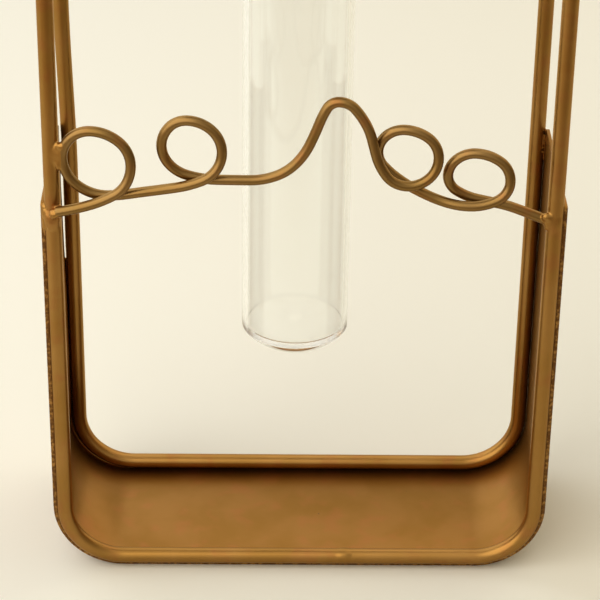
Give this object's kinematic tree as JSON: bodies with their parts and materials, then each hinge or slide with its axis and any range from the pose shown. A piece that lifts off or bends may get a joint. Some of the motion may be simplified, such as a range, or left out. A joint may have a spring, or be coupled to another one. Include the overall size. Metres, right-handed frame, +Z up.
{
  "type": "test tube vase",
  "caption": "Bud vase: a glass tube with a flared lip hangs in a welded frame of bent rod hoops, set in a bent sheet cradle and dressed with a looped wire.",
  "frame": {"origin": "on the table under the middle of the cradle, centred across and between the two hoops", "axes": "+X across the vase to its right side, +Y from the looped wire's side to the back, +Z up"},
  "size_m": [0.1524, 0.0622, 0.2649],
  "materials": {
    "gold_paint": "satin antique gold paint",
    "clear_glass": "clear, polished"
  },
  "bodies": {
    "frame": {"front_frame": "gold_paint", "back_frame": "gold_paint", "base_band": "gold_paint", "top_plate": "gold_paint", "loop_wire": "gold_paint", "wire_weld_left": "gold_paint", "wire_weld_loop": "gold_paint", "wire_weld_right": "gold_paint", "band_welds": "gold_paint", "plate_welds": "gold_paint", "frame_butt_weld": "gold_paint"},
    "tube": {"test_tube": "clear_glass"}
  },
  "joints": [
    {"name": "tube_lift", "type": "slide", "parent": "frame", "child": "tube", "axis": [0, 0, 1], "range_m": [0, 0.205]}
  ]
}
